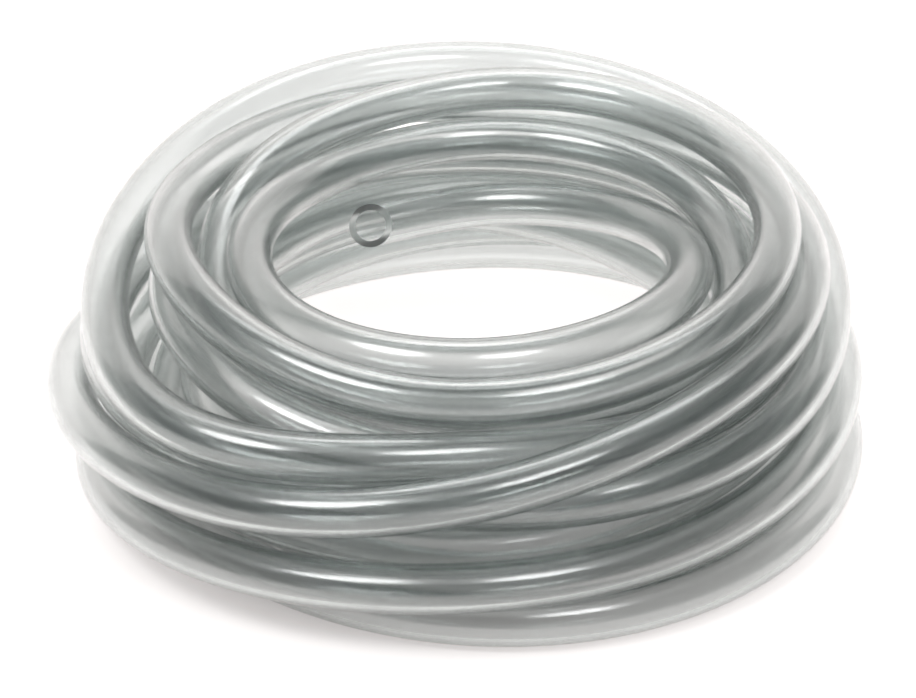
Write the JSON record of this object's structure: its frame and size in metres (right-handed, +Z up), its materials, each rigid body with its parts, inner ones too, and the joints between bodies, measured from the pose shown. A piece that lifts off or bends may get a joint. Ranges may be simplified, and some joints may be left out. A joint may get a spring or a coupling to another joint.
{
  "type": "siphon hose",
  "caption": "Clear flexible siphon hose lying in a loose untied coil, open at both ends, for pushing over a racking cane or siphon outlet.",
  "frame": {"origin": "middle of the coil's footprint, on the surface it lies on", "axes": "+Z up, out of the coil; -Y towards the side the coil is seen from, where its top is lower; the inner free end's mouth faces -X"},
  "size_m": [0.195, 0.195, 0.0715],
  "materials": {
    "clear_vinyl": "clear soft vinyl, gloss"
  },
  "bodies": {
    "root": {"inner_free_end": "clear_vinyl", "inner_turns": "clear_vinyl", "upper_turns": "clear_vinyl", "lower_turns": "clear_vinyl", "outer_free_end": "clear_vinyl"}
  },
  "joints": []
}
